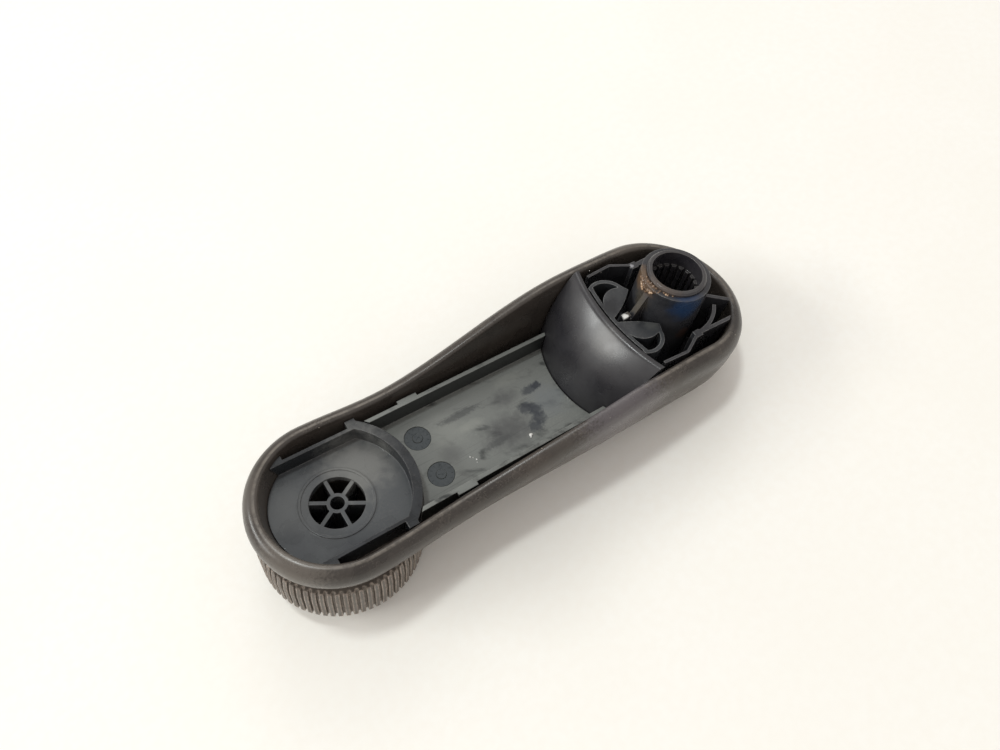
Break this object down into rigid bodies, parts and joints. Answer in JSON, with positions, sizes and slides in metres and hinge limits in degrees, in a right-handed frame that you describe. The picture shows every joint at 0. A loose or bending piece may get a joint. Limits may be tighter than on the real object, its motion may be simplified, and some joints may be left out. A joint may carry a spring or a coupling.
{
  "type": "car window winder handle",
  "caption": "Moulded window winder handle: a cranked hollow arm with a splined socket at one end and a free-turning ribbed knob at the other.",
  "frame": {"origin": "on the spindle axis, in the plane of the socket's mouth", "axes": "+Z along the spindle axis, out of the socket and away from the handle's front; +X along the arm from the spindle to the knob; the handle is symmetrical about y = 0"},
  "size_m": [0.1301, 0.0408, 0.0466],
  "materials": {
    "shell_plastic": "satin black, slightly brown",
    "tray_plastic": "rubbed dark grey with a milky haze",
    "cup_plastic": "dark bluish grey",
    "bush_plastic": "dark grey with a brown trace of grease",
    "dam_plastic": "smooth black",
    "clip_plastic": "cool dark grey",
    "retainer_plastic": "dark grey",
    "knob_plastic": "matt black"
  },
  "bodies": {
    "handle": {"outer_shell": "shell_plastic", "tray": "tray_plastic", "knob_cup": "cup_plastic", "hub_core": "tray_plastic", "splined_bush": "bush_plastic", "dam": "dam_plastic", "retaining_clip": "clip_plastic", "knob_retainer": "retainer_plastic"},
    "knob": {"knob_barrel": "knob_plastic", "knob_cover": "shell_plastic"}
  },
  "joints": [
    {"name": "knob_spin", "type": "hinge", "parent": "handle", "child": "knob", "pos_m": [0.09, 0, -0.038], "axis": [0, 0, 1], "continuous": true}
  ]
}
